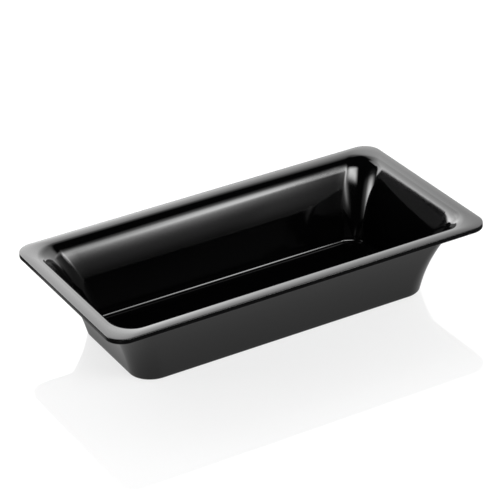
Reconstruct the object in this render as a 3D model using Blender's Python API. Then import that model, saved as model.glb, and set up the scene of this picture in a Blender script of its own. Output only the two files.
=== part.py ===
"""Deli food pan: a one-piece moulded rectangular pan with flared walls and a crowned rim.

Frame: metres, +Z up, origin on the resting surface under the middle of the base.
X runs along the pan, Y across it.

The shell is a loft of closed loops, each a rounded rectangle. One section through the end
wall and one through the long wall say how far a loop sits in from the rim's outer edge, and
how high. A section is a chain of arcs and straights that meet without a kink.
"""

import math
from collections import namedtuple

import bmesh
import bpy

# Overall size
RIM_LENGTH = 0.325
RIM_WIDTH = 0.176
PAN_HEIGHT = 0.065

# Shell
WALL = 0.0030
FLOOR_THICKNESS = 0.0025
RIM_UNDERSIDE = 0.0606
EDGE_ROUND = 0.0006
BASE_ROUND = 0.0025
FLOOR_FILLET = 0.0040

# Corner radii in plan
RIM_CORNER = 0.0150
OPENING_CORNER = 0.0200
SHOULDER_CORNER = 0.0225
FLOOR_CORNER = 0.0170

# A wall's shape. Tilts are degrees from level: 0 is a level surface and 90 an upright one.
Shape = namedtuple(
    "Shape",
    "edge_tilt crown_radius crown_tilt roll_radius roll_tilt shoulder_radius wall_top_tilt "
    "wall_base_tilt",
)
LONG_WALL = Shape(-10.0, 0.023, 12.5, 0.0100, 45.0, 0.0240, 64.0, 77.0)
END_WALL = Shape(-10.0, 0.026, 8.5, 0.0070, 45.0, 0.0070, 57.0, 78.5)

# A point of a section: inset from the rim's outer edge, height, and plan corner radius there.
Station = namedtuple("Station", "inset height corner")

# Facets
CORNER_STEPS = 9
EDGE_STEPS = 2
CROWN_STEPS = 4
ROLL_STEPS = 5
SHOULDER_STEPS = 3
WALL_STEPS = 9
FILLET_STEPS = 4
SHARP_ANGLE = 40.0

PAN_COLOUR = (0.01, 0.01, 0.01, 1.0)
PAN_ROUGHNESS = 0.08


def clear_objects():
    """Remove whatever is in the open file."""
    for item in list(bpy.data.objects):
        bpy.data.objects.remove(item, do_unlink=True)


def arc(start, radius, from_tilt, to_tilt, end_corner, steps):
    """Stations along an arc, after its start.

    Along a positive radius the surface bends down as it goes in. A negative radius turns the
    arc over, for a hollow fillet or for a surface that faces down.
    """
    first = math.radians(from_tilt)
    last = math.radians(to_tilt)
    stations = []
    for step in range(1, steps + 1):
        share = step / steps
        tilt = first + (last - first) * share
        stations.append(Station(
            start.inset + radius * (math.sin(tilt) - math.sin(first)),
            start.height + radius * (math.cos(tilt) - math.cos(first)),
            start.corner + (end_corner - start.corner) * share,
        ))
    return stations


def wall_radius(shape, drop):
    """Radius of the wall's arc, which turns from its top tilt to its base tilt over the drop."""
    top_cos = math.cos(math.radians(shape.wall_top_tilt))
    base_cos = math.cos(math.radians(shape.wall_base_tilt))
    return drop / (top_cos - base_cos)


def inside_section(shape):
    """Rim edge to shoulder, then the wall, then the floor fillet, from the outside in."""
    edge_cos = math.cos(math.radians(shape.edge_tilt))
    edge_height = PAN_HEIGHT - shape.crown_radius * (1.0 - edge_cos) - EDGE_ROUND * edge_cos
    edge = [Station(0.0, edge_height, RIM_CORNER)]
    edge += arc(edge[-1], EDGE_ROUND, -90.0, shape.edge_tilt, RIM_CORNER - EDGE_ROUND, EDGE_STEPS)
    crown = arc(
        edge[-1], shape.crown_radius, shape.edge_tilt, shape.crown_tilt, OPENING_CORNER, CROWN_STEPS
    )
    roll = arc(
        crown[-1], shape.roll_radius, shape.crown_tilt, shape.roll_tilt, OPENING_CORNER, ROLL_STEPS
    )
    shoulder = arc(
        roll[-1],
        shape.shoulder_radius,
        shape.roll_tilt,
        shape.wall_top_tilt,
        SHOULDER_CORNER,
        SHOULDER_STEPS,
    )
    fillet_rise = FLOOR_FILLET * (1.0 - math.cos(math.radians(shape.wall_base_tilt)))
    radius = wall_radius(shape, shoulder[-1].height - FLOOR_THICKNESS - fillet_rise)
    wall = arc(
        shoulder[-1], radius, shape.wall_top_tilt, shape.wall_base_tilt, FLOOR_CORNER, WALL_STEPS
    )
    floor_corner = FLOOR_CORNER - FLOOR_FILLET
    fillet = arc(wall[-1], -FLOOR_FILLET, shape.wall_base_tilt, 0.0, floor_corner, FILLET_STEPS)
    return edge + crown + roll + shoulder, wall, fillet


def through_wall(station, tilt):
    """The station on the wall's other face, straight through the wall."""
    across = WALL * math.sin(math.radians(tilt))
    down = WALL * math.cos(math.radians(tilt))
    return Station(station.inset - across, station.height - down, station.corner + WALL)


def outside_section(shape):
    """Base round, wall, roll and rim underside, from the base out to the rim's edge."""
    rim, wall, _ = inside_section(shape)
    radius = wall_radius(shape, rim[-1].height - wall[-1].height) - WALL
    wall_top = through_wall(rim[-1], shape.wall_top_tilt)
    wall_base = through_wall(wall[-1], shape.wall_base_tilt)
    base_sin = math.sin(math.radians(shape.wall_base_tilt))
    base_cos = math.cos(math.radians(shape.wall_base_tilt))
    round_top = BASE_ROUND * (1.0 - base_cos)
    foot_inset = wall_base.inset + (wall_base.height - round_top) * base_cos / base_sin
    base_edge = Station(foot_inset + BASE_ROUND * base_sin, 0.0, wall_base.corner - BASE_ROUND)
    base = [base_edge]
    base += arc(base_edge, -BASE_ROUND, 0.0, shape.wall_base_tilt, wall_base.corner, EDGE_STEPS)
    outer_wall = [wall_base]
    outer_wall += arc(
        wall_base, radius, shape.wall_base_tilt, shape.wall_top_tilt, wall_top.corner, WALL_STEPS
    )
    top_cos = math.cos(math.radians(shape.wall_top_tilt))
    roll_radius = (RIM_UNDERSIDE - wall_top.height) / (1.0 - top_cos)
    roll = arc(outer_wall[-1], roll_radius, shape.wall_top_tilt, 0.0, wall_top.corner, ROLL_STEPS)
    lip = [Station(EDGE_ROUND, RIM_UNDERSIDE, RIM_CORNER - EDGE_ROUND)]
    lip += arc(lip[0], -EDGE_ROUND, 0.0, 90.0, RIM_CORNER, EDGE_STEPS)
    return base + outer_wall + roll + lip


def whole_section(shape):
    """Every station from the base, over the rim and down to the floor."""
    rim, wall, fillet = inside_section(shape)
    return outside_section(shape) + rim + wall + fillet


def loop_points(end, side):
    """A closed loop, anticlockwise from +X, through an end wall and a long wall station."""
    corner = (end.corner + side.corner) / 2.0
    straight_x = RIM_LENGTH / 2.0 - end.inset - corner
    straight_y = RIM_WIDTH / 2.0 - side.inset - corner
    points = []
    for quarter, (sign_x, sign_y) in enumerate(((1, 1), (-1, 1), (-1, -1), (1, -1))):
        for step in range(CORNER_STEPS + 1):
            angle = math.radians(90.0 * (quarter + step / CORNER_STEPS))
            side_share = math.sin(angle) ** 2
            points.append((
                sign_x * straight_x + corner * math.cos(angle),
                sign_y * straight_y + corner * math.sin(angle),
                end.height * (1.0 - side_share) + side.height * side_share,
            ))
    return points


def loft(loops):
    """A closed mesh through the loops, with its first and last loop capped."""
    shell = bmesh.new()
    rings = [[shell.verts.new(point) for point in loop] for loop in loops]
    for lower, upper in zip(rings, rings[1:]):
        for index in range(len(lower)):
            after = (index + 1) % len(lower)
            shell.faces.new((lower[index], lower[after], upper[after], upper[index]))
    shell.faces.new(reversed(rings[0]))
    shell.faces.new(rings[-1])
    bmesh.ops.recalc_face_normals(shell, faces=shell.faces)
    mesh = bpy.data.meshes.new("pan")
    shell.to_mesh(mesh)
    shell.free()
    return mesh


def gloss_black():
    """Glossy black moulded plastic."""
    material = bpy.data.materials.new("gloss_black")
    material.use_nodes = True
    shader = material.node_tree.nodes["Principled BSDF"]
    shader.inputs["Base Color"].default_value = PAN_COLOUR
    shader.inputs["Roughness"].default_value = PAN_ROUGHNESS
    shader.inputs["Metallic"].default_value = 0.0
    return material


def build_pan():
    """The pan, as one object."""
    stations = zip(whole_section(END_WALL), whole_section(LONG_WALL))
    mesh = loft([loop_points(end, side) for end, side in stations])
    mesh.shade_smooth()
    mesh.set_sharp_from_angle(angle=math.radians(SHARP_ANGLE))
    mesh.materials.append(gloss_black())
    pan = bpy.data.objects.new("pan", mesh)
    bpy.context.scene.collection.objects.link(pan)
    return pan


def main():
    clear_objects()
    build_pan()


main()
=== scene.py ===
"""The looks of the deli food pan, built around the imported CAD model.

Metres, in the CAD model's frame: +Z up, origin under the middle of the base, X along the pan.
The pan's shell is lofted again here, much finer than the CAD solid, from the same driving
dimensions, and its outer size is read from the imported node.
"""

import math
from collections import namedtuple

import bmesh
import bpy
from mathutils import Matrix, Vector


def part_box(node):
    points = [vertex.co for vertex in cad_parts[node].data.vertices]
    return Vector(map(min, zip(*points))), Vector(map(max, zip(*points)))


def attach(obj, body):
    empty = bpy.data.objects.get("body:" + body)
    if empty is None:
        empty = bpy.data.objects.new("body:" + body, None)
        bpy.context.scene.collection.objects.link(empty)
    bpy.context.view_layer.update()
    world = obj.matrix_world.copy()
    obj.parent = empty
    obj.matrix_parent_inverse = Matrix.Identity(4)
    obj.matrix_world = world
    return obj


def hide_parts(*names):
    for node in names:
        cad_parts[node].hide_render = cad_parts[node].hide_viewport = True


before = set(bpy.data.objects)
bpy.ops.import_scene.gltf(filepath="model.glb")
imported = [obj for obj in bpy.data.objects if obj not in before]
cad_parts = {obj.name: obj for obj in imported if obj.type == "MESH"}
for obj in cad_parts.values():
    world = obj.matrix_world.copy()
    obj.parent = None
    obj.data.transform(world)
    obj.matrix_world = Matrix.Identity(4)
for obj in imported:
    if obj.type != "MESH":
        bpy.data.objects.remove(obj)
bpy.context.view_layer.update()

LOW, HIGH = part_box("pan")
RIM_LENGTH = HIGH.x - LOW.x
RIM_WIDTH = HIGH.y - LOW.y
PAN_HEIGHT = HIGH.z - LOW.z

# Shell, as in the CAD part
WALL = 0.0030
FLOOR_THICKNESS = 0.0025
RIM_UNDERSIDE = 0.0606
EDGE_ROUND = 0.0006
BASE_ROUND = 0.0025
FLOOR_FILLET = 0.0040
RIM_CORNER = 0.0150
OPENING_CORNER = 0.0200
SHOULDER_CORNER = 0.0225
FLOOR_CORNER = 0.0170

# A wall's shape. Tilts are degrees from level: 0 is a level surface and 90 an upright one.
Shape = namedtuple(
    "Shape",
    "edge_tilt crown_radius crown_tilt roll_radius roll_tilt shoulder_radius wall_top_tilt "
    "wall_base_tilt",
)
LONG_WALL = Shape(-10.0, 0.023, 12.5, 0.0100, 45.0, 0.0240, 64.0, 77.0)
END_WALL = Shape(-10.0, 0.026, 8.5, 0.0070, 45.0, 0.0070, 57.0, 78.5)

# A point of a section: inset from the rim's outer edge, height, and plan corner radius there.
Station = namedtuple("Station", "inset height corner")

# Fineness of the visible mesh
CORNER_STEPS = 24
LONG_STEPS = 30
END_STEPS = 16
EDGE_STEPS = 6
CROWN_STEPS = 14
ROLL_STEPS = 16
SHOULDER_STEPS = 12
WALL_STEPS = 30
FILLET_STEPS = 10
CAP_STEPS = 8

# Handling wear fades out over this distance from the rim's edge and from the base's edge
WEAR_REACH = 0.0018
WEAR_NAME = "edge_wear"

# The part of a noise's range that its values mostly fill
NOISE_RANGE = (0.30, 0.70)

# A mix node's colour sockets
MIX_FIRST = 6
MIX_SECOND = 7
MIX_RESULT = 2

# Moulded plastic. A noise is its scale and its detail; a roughness range goes with its noise.
BLACK = (0.0007, 0.0007, 0.0008)
WORN_BLACK = (0.0060, 0.0062, 0.0064)
PLASTIC_IOR = 1.5
HAZE_NOISE = (28.0, 5.0)
HAZE_ROUGHNESS = (0.055, 0.080)
GRAIN_NOISE = (1500.0, 3.0)
GRAIN_ROUGHNESS = (-0.008, 0.008)
SCUFF_NOISE = (900.0, 4.0)
SCUFF_RANGE = (0.42, 0.62)
SCUFF_WEAR = (0.15, 1.0)
WORN_ROUGHNESS = 0.16
RIPPLE_NOISE = (330.0, 2.0)
SPECKLE_NOISE = (2200.0, 2.0)
SPECKLE_SHARE = 0.06
RELIEF_STRENGTH = 0.5
RELIEF_DEPTH = 0.00001

# Floor. Seen is how brightly it glows for the camera. Lift is a painted glow that only reflections
# show, brightest at the rim's outline and gone where the lift ends.
FLOOR_SIZE = 3.0
FLOOR_GAP = 0.0002
FLOOR_FADE = (0.9, 1.4)
FLOOR_WHITE = (0.2, 0.2, 0.2)
FLOOR_IOR = 1.3
FLOOR_SPECULAR = 0.5
FLOOR_SEEN = 0.72
FLOOR_LIFT = 0.45
LIFT_REACH = (0.02, 0.09)
CLOUD_NOISE = (9.0, 3.0)
CLOUD_ROUGHNESS = (0.0, 0.03)

# Camera: a long lens to the left of the front, looking down and rolled a little
CAMERA_PLACE = Vector((-0.7663, -1.4444, 0.9286))
CAMERA_AIM = Vector((0.0443, 0.0872, 0.0))
CAMERA_ROLL = 3.18
CAMERA_LENS = 172.36
SENSOR_WIDTH = 36.0

# Light panels. Each stands upright at its distance from the pan, square to its bearing:
# 0 is behind the pan, 90 to its right, 180 in front of it. Left and right are as seen from
# the pan, low and high are above the floor. The glow runs from dim at the bottom to bright
# at the top along a curve, and the slope changes it sideways. A fade is the width of a soft
# edge: left, right, low, high. The echo is the share left where a reflection is itself
# reflected.
Panel = namedtuple(
    "Panel", "name bearing distance left right low high tilt dim bright curve slope fades echo"
)
PANELS = (
    # Three that draw the bright line along the far roll, and its fall-off down the far wall
    Panel(
        "front_box", bearing=-160.0, distance=1.0, left=-0.8, right=0.45, low=0.95, high=1.6,
        tilt=15.0, dim=22.0, bright=0.0, curve=0.6, slope=-0.3,
        fades=(0.7, 0.6, 0.25, 0.15), echo=0.2,
    ),
    Panel(
        "front_strip", bearing=125.0, distance=1.4, left=0.5, right=1.05, low=0.75, high=1.4,
        tilt=5.0, dim=11.0, bright=3.5, curve=2.5, slope=-1.9,
        fades=(0.6, 0.9, 0.25, 0.9), echo=0.2,
    ),
    Panel(
        "front_haze", bearing=190.0, distance=1.4, left=-1.15, right=0.15, low=0.45, high=0.7,
        tilt=-5.0, dim=0.5, bright=9.0, curve=3.5, slope=-1.6,
        fades=(0.45, 1.05, 0.4, 0.7), echo=0.2,
    ),
    # Draws the bright streak down the right corner at the back
    Panel(
        "left_box", bearing=-85.0, distance=1.4, left=0.15, right=0.65, low=0.35, high=0.95,
        tilt=-20.0, dim=15.0, bright=0.5, curve=2.5, slope=1.6,
        fades=(1.0, 0.7, 0.8, 0.3), echo=0.2,
    ),
    # Greys the near rim and the right rim, and ends in a sharp line above the right wall
    Panel(
        "back_wall", bearing=0.0, distance=1.6, left=-1.25, right=0.8, low=0.32, high=3.4,
        tilt=-25.0, dim=7.5, bright=0.0, curve=0.8, slope=0.0,
        fades=(0.3, 1.0, 0.03, 0.9), echo=0.15,
    ),
    Panel(
        "back_low", bearing=40.0, distance=1.6, left=-0.35, right=0.25, low=0.1, high=4.9,
        tilt=-15.0, dim=4.0, bright=0.0, curve=0.6, slope=-0.25,
        fades=(0.75, 0.95, 0.3, 0.4), echo=0.15,
    ),
    # The dark grey patch on the right wall
    Panel(
        "low_glow", bearing=-40.0, distance=1.6, left=-0.35, right=0.35, low=0.25, high=0.45,
        tilt=0.0, dim=0.16, bright=0.16, curve=1.0, slope=0.0,
        fades=(0.1, 0.1, 0.03, 0.05), echo=0.15,
    ),
    # Two that grey the left rim and the far rim
    Panel(
        "right_strip", bearing=80.0, distance=1.4, left=-2.0, right=0.55, low=0.1, high=2.25,
        tilt=40.0, dim=3.0, bright=0.9, curve=0.8, slope=0.1,
        fades=(1.0, 1.15, 0.2, 0.9), echo=0.5,
    ),
    Panel(
        "right_haze", bearing=125.0, distance=1.4, left=-1.0, right=0.6, low=0.0, high=1.05,
        tilt=25.0, dim=0.15, bright=3.0, curve=6.0, slope=1.0,
        fades=(0.45, 0.05, 0.25, 0.4), echo=0.5,
    ),
)
SURROUND_LIGHT = 0.01


def arc(start, radius, from_tilt, to_tilt, end_corner, steps):
    """Stations along an arc, after its start.

    Along a positive radius the surface bends down as it goes in. A negative radius turns the
    arc over, for a hollow fillet or for a surface that faces down.
    """
    first = math.radians(from_tilt)
    last = math.radians(to_tilt)
    stations = []
    for step in range(1, steps + 1):
        share = step / steps
        tilt = first + (last - first) * share
        stations.append(Station(
            start.inset + radius * (math.sin(tilt) - math.sin(first)),
            start.height + radius * (math.cos(tilt) - math.cos(first)),
            start.corner + (end_corner - start.corner) * share,
        ))
    return stations


def wall_radius(shape, drop):
    """Radius of the wall's arc, which turns from its top tilt to its base tilt over the drop."""
    top_cos = math.cos(math.radians(shape.wall_top_tilt))
    base_cos = math.cos(math.radians(shape.wall_base_tilt))
    return drop / (top_cos - base_cos)


def inside_section(shape):
    """Rim edge to shoulder, then the wall, then the floor fillet, from the outside in."""
    edge_cos = math.cos(math.radians(shape.edge_tilt))
    edge_height = PAN_HEIGHT - shape.crown_radius * (1.0 - edge_cos) - EDGE_ROUND * edge_cos
    edge = [Station(0.0, edge_height, RIM_CORNER)]
    edge += arc(edge[-1], EDGE_ROUND, -90.0, shape.edge_tilt, RIM_CORNER - EDGE_ROUND, EDGE_STEPS)
    crown = arc(
        edge[-1], shape.crown_radius, shape.edge_tilt, shape.crown_tilt, OPENING_CORNER, CROWN_STEPS
    )
    roll = arc(
        crown[-1], shape.roll_radius, shape.crown_tilt, shape.roll_tilt, OPENING_CORNER, ROLL_STEPS
    )
    shoulder = arc(
        roll[-1],
        shape.shoulder_radius,
        shape.roll_tilt,
        shape.wall_top_tilt,
        SHOULDER_CORNER,
        SHOULDER_STEPS,
    )
    fillet_rise = FLOOR_FILLET * (1.0 - math.cos(math.radians(shape.wall_base_tilt)))
    radius = wall_radius(shape, shoulder[-1].height - FLOOR_THICKNESS - fillet_rise)
    wall = arc(
        shoulder[-1], radius, shape.wall_top_tilt, shape.wall_base_tilt, FLOOR_CORNER, WALL_STEPS
    )
    floor_corner = FLOOR_CORNER - FLOOR_FILLET
    fillet = arc(wall[-1], -FLOOR_FILLET, shape.wall_base_tilt, 0.0, floor_corner, FILLET_STEPS)
    return edge + crown + roll + shoulder, wall, fillet


def through_wall(station, tilt):
    """The station on the wall's other face, straight through the wall."""
    across = WALL * math.sin(math.radians(tilt))
    down = WALL * math.cos(math.radians(tilt))
    return Station(station.inset - across, station.height - down, station.corner + WALL)


def outside_section(shape):
    """Base round, wall, roll and rim underside, from the base out to the rim's edge."""
    rim, wall, _ = inside_section(shape)
    radius = wall_radius(shape, rim[-1].height - wall[-1].height) - WALL
    wall_top = through_wall(rim[-1], shape.wall_top_tilt)
    wall_base = through_wall(wall[-1], shape.wall_base_tilt)
    base_sin = math.sin(math.radians(shape.wall_base_tilt))
    base_cos = math.cos(math.radians(shape.wall_base_tilt))
    round_top = BASE_ROUND * (1.0 - base_cos)
    foot_inset = wall_base.inset + (wall_base.height - round_top) * base_cos / base_sin
    base_edge = Station(foot_inset + BASE_ROUND * base_sin, 0.0, wall_base.corner - BASE_ROUND)
    base = [base_edge]
    base += arc(base_edge, -BASE_ROUND, 0.0, shape.wall_base_tilt, wall_base.corner, EDGE_STEPS)
    outer_wall = [wall_base]
    outer_wall += arc(
        wall_base, radius, shape.wall_base_tilt, shape.wall_top_tilt, wall_top.corner, WALL_STEPS
    )
    top_cos = math.cos(math.radians(shape.wall_top_tilt))
    roll_radius = (RIM_UNDERSIDE - wall_top.height) / (1.0 - top_cos)
    roll = arc(outer_wall[-1], roll_radius, shape.wall_top_tilt, 0.0, wall_top.corner, ROLL_STEPS)
    lip = [Station(EDGE_ROUND, RIM_UNDERSIDE, RIM_CORNER - EDGE_ROUND)]
    lip += arc(lip[0], -EDGE_ROUND, 0.0, 90.0, RIM_CORNER, EDGE_STEPS)
    return base + outer_wall + roll + lip


def whole_section(shape):
    """Every station from the base, over the rim and down to the floor."""
    rim, wall, fillet = inside_section(shape)
    return outside_section(shape) + rim + wall + fillet


def loop_points(end, side):
    """A closed loop, anticlockwise from +X, with points along its corners and its straights."""
    corner = (end.corner + side.corner) / 2.0
    straight_x = RIM_LENGTH / 2.0 - end.inset - corner
    straight_y = RIM_WIDTH / 2.0 - side.inset - corner
    points = []
    straights = (
        (Vector((-2.0 * straight_x, 0.0, 0.0)), LONG_STEPS),
        (Vector((0.0, -2.0 * straight_y, 0.0)), END_STEPS),
        (Vector((2.0 * straight_x, 0.0, 0.0)), LONG_STEPS),
        (Vector((0.0, 2.0 * straight_y, 0.0)), END_STEPS),
    )
    for quarter, (sign_x, sign_y) in enumerate(((1, 1), (-1, 1), (-1, -1), (1, -1))):
        for step in range(CORNER_STEPS + 1):
            angle = math.radians(90.0 * (quarter + step / CORNER_STEPS))
            side_share = math.sin(angle) ** 2
            points.append(Vector((
                sign_x * straight_x + corner * math.cos(angle),
                sign_y * straight_y + corner * math.sin(angle),
                end.height * (1.0 - side_share) + side.height * side_share,
            )))
        along, steps = straights[quarter]
        start = points[-1]
        points += [start + along * (step / steps) for step in range(1, steps)]
    return points


def bridge(mesh, lower, upper):
    """Quads between two rings of the same number of vertices."""
    for index in range(len(lower)):
        after = (index + 1) % len(lower)
        mesh.faces.new((lower[index], lower[after], upper[after], upper[index]))


def cap(mesh, ring):
    """Fills a flat ring with smaller copies of itself and a last fan."""
    centre = sum((vertex.co for vertex in ring), Vector()) / len(ring)
    outer = ring
    for step in range(1, CAP_STEPS):
        size = 1.0 - step / CAP_STEPS
        inner = [mesh.verts.new(centre + (vertex.co - centre) * size) for vertex in ring]
        bridge(mesh, outer, inner)
        outer = inner
    middle = mesh.verts.new(centre)
    for index, vertex in enumerate(outer):
        mesh.faces.new((vertex, outer[(index + 1) % len(outer)], middle))


def wear_of(station):
    """How worn the surface is there, from 0 to 1."""
    edge_height = (RIM_UNDERSIDE + PAN_HEIGHT) / 2.0
    from_rim_edge = math.hypot(station.inset, station.height - edge_height)
    nearest = min(from_rim_edge, station.height)
    return math.exp(-(nearest / WEAR_REACH) ** 2)


def pan_shell():
    """The pan's shell as one fine closed mesh, with its wear as an attribute."""
    shell = bmesh.new()
    wear = shell.verts.layers.float.new(WEAR_NAME)
    rings = []
    for end, side in zip(whole_section(END_WALL), whole_section(LONG_WALL)):
        ring = [shell.verts.new(point) for point in loop_points(end, side)]
        for vertex in ring:
            vertex[wear] = wear_of(side)
        rings.append(ring)
    for lower, upper in zip(rings, rings[1:]):
        bridge(shell, lower, upper)
    cap(shell, rings[0])
    cap(shell, rings[-1])
    bmesh.ops.recalc_face_normals(shell, faces=shell.faces)
    mesh = bpy.data.meshes.new("pan_shell")
    shell.to_mesh(mesh)
    shell.free()
    mesh.shade_smooth()
    pan = bpy.data.objects.new("pan_shell", mesh)
    bpy.context.scene.collection.objects.link(pan)
    return pan


class Tree:
    """A node tree with short ways to add the nodes that the materials use."""

    def __init__(self, tree):
        self.nodes = tree.nodes
        self.links = tree.links
        self.nodes.clear()

    def add(self, kind, **inputs):
        """A node of that kind. Each input is a value, or a socket to link from."""
        node = self.nodes.new(kind)
        for name, value in inputs.items():
            self.put(node.inputs[name.replace("_", " ")], value)
        return node

    def put(self, socket, value):
        """Link the value into the socket, or set it there."""
        if isinstance(value, bpy.types.NodeSocket):
            self.links.new(value, socket)
        else:
            socket.default_value = value

    def math(self, operation, first, second=0.0):
        """The result of a math node."""
        node = self.nodes.new("ShaderNodeMath")
        node.operation = operation
        self.put(node.inputs[0], first)
        self.put(node.inputs[1], second)
        return node.outputs[0]

    def remap(self, value, low, high, out_low, out_high, smooth=False):
        """The value moved from one range to another, and kept inside it."""
        node = self.nodes.new("ShaderNodeMapRange")
        node.interpolation_type = "SMOOTHSTEP" if smooth else "LINEAR"
        for socket, setting in zip(node.inputs, (value, low, high, out_low, out_high)):
            self.put(socket, setting)
        return node.outputs[0]

    def noise(self, place, scale, detail):
        """A noise over the place."""
        node = self.add("ShaderNodeTexNoise", Vector=place, Scale=scale, Detail=detail)
        return node.outputs["Fac"]

    def blend(self, share, first, second):
        """The first colour, or the second where the share is 1."""
        node = self.nodes.new("ShaderNodeMix")
        node.data_type = "RGBA"
        self.put(node.inputs["Factor"], share)
        self.put(node.inputs[MIX_FIRST], (*first, 1.0))
        self.put(node.inputs[MIX_SECOND], (*second, 1.0))
        return node.outputs[MIX_RESULT]


def plastic():
    """Glossy black moulded plastic, a little worn along its edges."""
    material = bpy.data.materials.new("gloss_black_plastic")
    material.use_nodes = True
    tree = Tree(material.node_tree)
    place = tree.add("ShaderNodeTexCoord").outputs["Object"]
    wear_map = tree.nodes.new("ShaderNodeAttribute")
    wear_map.attribute_name = WEAR_NAME
    scuffs = tree.remap(tree.noise(place, *SCUFF_NOISE), *SCUFF_RANGE, *SCUFF_WEAR)
    wear = tree.math("MULTIPLY", wear_map.outputs["Fac"], scuffs)
    haze = tree.remap(tree.noise(place, *HAZE_NOISE), *NOISE_RANGE, *HAZE_ROUGHNESS)
    grain = tree.remap(tree.noise(place, *GRAIN_NOISE), *NOISE_RANGE, *GRAIN_ROUGHNESS)
    worn = tree.math("MULTIPLY", wear, WORN_ROUGHNESS)
    rough = tree.math("ADD", tree.math("ADD", haze, grain), worn)
    ripple = tree.noise(place, *RIPPLE_NOISE)
    speckle = tree.math("MULTIPLY", tree.noise(place, *SPECKLE_NOISE), SPECKLE_SHARE)
    relief = tree.add(
        "ShaderNodeBump",
        Strength=RELIEF_STRENGTH,
        Distance=RELIEF_DEPTH,
        Height=tree.math("ADD", ripple, speckle),
    )
    shader = tree.add(
        "ShaderNodeBsdfPrincipled",
        Base_Color=tree.blend(wear, BLACK, WORN_BLACK),
        Roughness=rough,
        IOR=PLASTIC_IOR,
        Normal=relief.outputs["Normal"],
    )
    tree.add("ShaderNodeOutputMaterial", Surface=shader.outputs["BSDF"])
    return material


def rectangle(name, low, high, material):
    """A staged flat rectangle from its low corner to its high corner, facing along its Z."""
    mesh = bpy.data.meshes.new(name)
    corners = (
        (low[0], low[1], 0.0),
        (high[0], low[1], 0.0),
        (high[0], high[1], 0.0),
        (low[0], high[1], 0.0),
    )
    mesh.from_pydata(corners, (), ((0, 1, 2, 3),))
    mesh.materials.append(material)
    item = bpy.data.objects.new(name, mesh)
    bpy.context.scene.collection.objects.link(item)
    return item


def floor_white():
    """A pale sheet that fades out round its edge, slightly glossy to the camera and glowing white
    for it, with a painted glow round the pan that only reflections show.
    """
    material = bpy.data.materials.new("floor_white")
    material.use_nodes = True
    tree = Tree(material.node_tree)
    place = tree.add("ShaderNodeTexCoord").outputs["Object"]
    length = tree.nodes.new("ShaderNodeVectorMath")
    length.operation = "LENGTH"
    tree.put(length.inputs[0], place)
    shown = tree.remap(length.outputs["Value"], *FLOOR_FADE, 1.0, 0.0, smooth=True)
    cloud = tree.remap(tree.noise(place, *CLOUD_NOISE), *NOISE_RANGE, *CLOUD_ROUGHNESS)
    seen = tree.add("ShaderNodeLightPath").outputs["Is Camera Ray"]
    split = tree.add("ShaderNodeSeparateXYZ", Vector=place)
    beyond_end = tree.math("SUBTRACT", tree.math("ABSOLUTE", split.outputs["X"]), RIM_LENGTH / 2.0)
    beyond_side = tree.math("SUBTRACT", tree.math("ABSOLUTE", split.outputs["Y"]), RIM_WIDTH / 2.0)
    beyond = tree.math("MAXIMUM", beyond_end, beyond_side)
    # Painted glow: the floor glows brighter near the pan's outline, for reflections only
    painted_glow = tree.remap(beyond, *LIFT_REACH, FLOOR_LIFT, 0.0, smooth=True)
    shader = tree.add(
        "ShaderNodeBsdfPrincipled",
        Base_Color=(*FLOOR_WHITE, 1.0),
        Roughness=cloud,
        IOR=FLOOR_IOR,
        Specular_IOR_Level=tree.math("MULTIPLY", seen, FLOOR_SPECULAR),
        Alpha=shown,
        Emission_Color=(1.0, 1.0, 1.0, 1.0),
        Emission_Strength=tree.remap(seen, 0.0, 1.0, painted_glow, FLOOR_SEEN),
    )
    tree.add("ShaderNodeOutputMaterial", Surface=shader.outputs["BSDF"])
    return material


def fade(tree, place, edge, width):
    """0 outside the edge and 1 inside it. A negative width is for a high edge."""
    return tree.remap(place, edge - width / 2.0, edge + width / 2.0, 0.0, 1.0, smooth=True)


def glow(panel):
    """The panel's light, see-through wherever it is dark."""
    material = bpy.data.materials.new(panel.name)
    material.use_nodes = True
    tree = Tree(material.node_tree)
    place = tree.add("ShaderNodeTexCoord").outputs["Object"]
    split = tree.add("ShaderNodeSeparateXYZ", Vector=place)
    across, up = split.outputs["X"], split.outputs["Y"]
    width = panel.right - panel.left
    height = panel.high - panel.low
    left, right, low, high = panel.fades
    rise = tree.remap(up, -height / 2.0, height / 2.0, 0.0, 1.0)
    glow_range = panel.bright - panel.dim
    brighter = tree.math("MULTIPLY", tree.math("POWER", rise, panel.curve), glow_range)
    half_slope = panel.slope / 2.0
    sideways = tree.remap(across, -width / 2.0, width / 2.0, 1.0 - half_slope, 1.0 + half_slope)
    bounces = tree.add("ShaderNodeLightPath").outputs["Ray Depth"]
    shares = (
        sideways,
        tree.remap(bounces, 1.0, 2.0, 1.0, panel.echo),
        fade(tree, across, -width / 2.0, left),
        fade(tree, across, width / 2.0, -right),
        fade(tree, up, -height / 2.0, low),
        fade(tree, up, height / 2.0, -high),
    )
    strength = tree.math("ADD", brighter, panel.dim)
    for share in shares:
        strength = tree.math("MULTIPLY", strength, share)
    light = tree.add("ShaderNodeEmission", Strength=strength)
    clear = tree.add("ShaderNodeBsdfTransparent")
    both = tree.nodes.new("ShaderNodeAddShader")
    tree.put(both.inputs[0], light.outputs[0])
    tree.put(both.inputs[1], clear.outputs[0])
    tree.add("ShaderNodeOutputMaterial", Surface=both.outputs[0])
    return material


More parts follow.
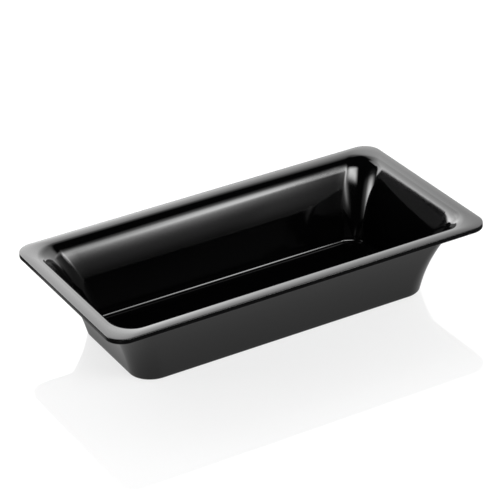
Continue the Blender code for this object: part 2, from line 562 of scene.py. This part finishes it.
def light_panel(panel):
    """A glowing rectangle that lights the pan and shows in its gloss, but not to the camera."""
    half_width = (panel.right - panel.left) / 2.0
    half_height = (panel.high - panel.low) / 2.0
    left, right, low, high = (width / 2.0 for width in panel.fades)
    item = rectangle(
        panel.name,
        (-half_width - left, -half_height - low),
        (half_width + right, half_height + high),
        glow(panel),
    )
    bearing = math.radians(panel.bearing)
    out = Vector((math.sin(bearing), math.cos(bearing), 0.0))
    across = Vector((math.cos(bearing), -math.sin(bearing), 0.0))
    up = Vector((0.0, 0.0, 1.0))
    middle = out * panel.distance + across * (panel.left + panel.right) / 2.0
    middle.z = (panel.low + panel.high) / 2.0
    tilt = math.radians(panel.tilt)
    tilted_across = across * math.cos(tilt) + up * math.sin(tilt)
    tilted_up = up * math.cos(tilt) - across * math.sin(tilt)
    axes = Matrix((tilted_across, tilted_up, tilted_across.cross(tilted_up))).transposed()
    item.matrix_world = Matrix.Translation(middle) @ axes.to_4x4()
    item.visible_camera = False


def white_surround():
    """White where the camera sees past the floor, and dark for everything else."""
    world = bpy.data.worlds.new("surround")
    bpy.context.scene.world = world
    world.use_nodes = True
    tree = Tree(world.node_tree)
    seen = tree.add("ShaderNodeLightPath").outputs["Is Camera Ray"]
    strength = tree.remap(seen, 0.0, 1.0, SURROUND_LIGHT, 1.0)
    shade = tree.add("ShaderNodeBackground", Strength=strength)
    shade.inputs["Color"].default_value = (1.0, 1.0, 1.0, 1.0)
    tree.add("ShaderNodeOutputWorld", Surface=shade.outputs["Background"])


def place_camera():
    """The scene's camera."""
    data = bpy.data.cameras.new("camera")
    data.lens = CAMERA_LENS
    data.sensor_width = SENSOR_WIDTH
    camera = bpy.data.objects.new("camera", data)
    back = (CAMERA_PLACE - CAMERA_AIM).normalized()
    level = Vector((-back.y, back.x, 0.0)).normalized()
    upright = back.cross(level)
    roll = math.radians(CAMERA_ROLL)
    right = level * math.cos(roll) - upright * math.sin(roll)
    up = level * math.sin(roll) + upright * math.cos(roll)
    axes = Matrix((right, up, back)).transposed()
    camera.matrix_world = Matrix.Translation(CAMERA_PLACE) @ axes.to_4x4()
    bpy.context.scene.collection.objects.link(camera)
    bpy.context.scene.camera = camera


place_camera()
white_surround()
bpy.context.scene.view_settings.view_transform = "Standard"

pan = pan_shell()
pan.data.materials.append(plastic())
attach(pan, "root")
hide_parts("pan")

half_floor = FLOOR_SIZE / 2.0
floor = rectangle("floor", (-half_floor, -half_floor), (half_floor, half_floor), floor_white())
floor.location.z = -FLOOR_GAP
for panel in PANELS:
    light_panel(panel)
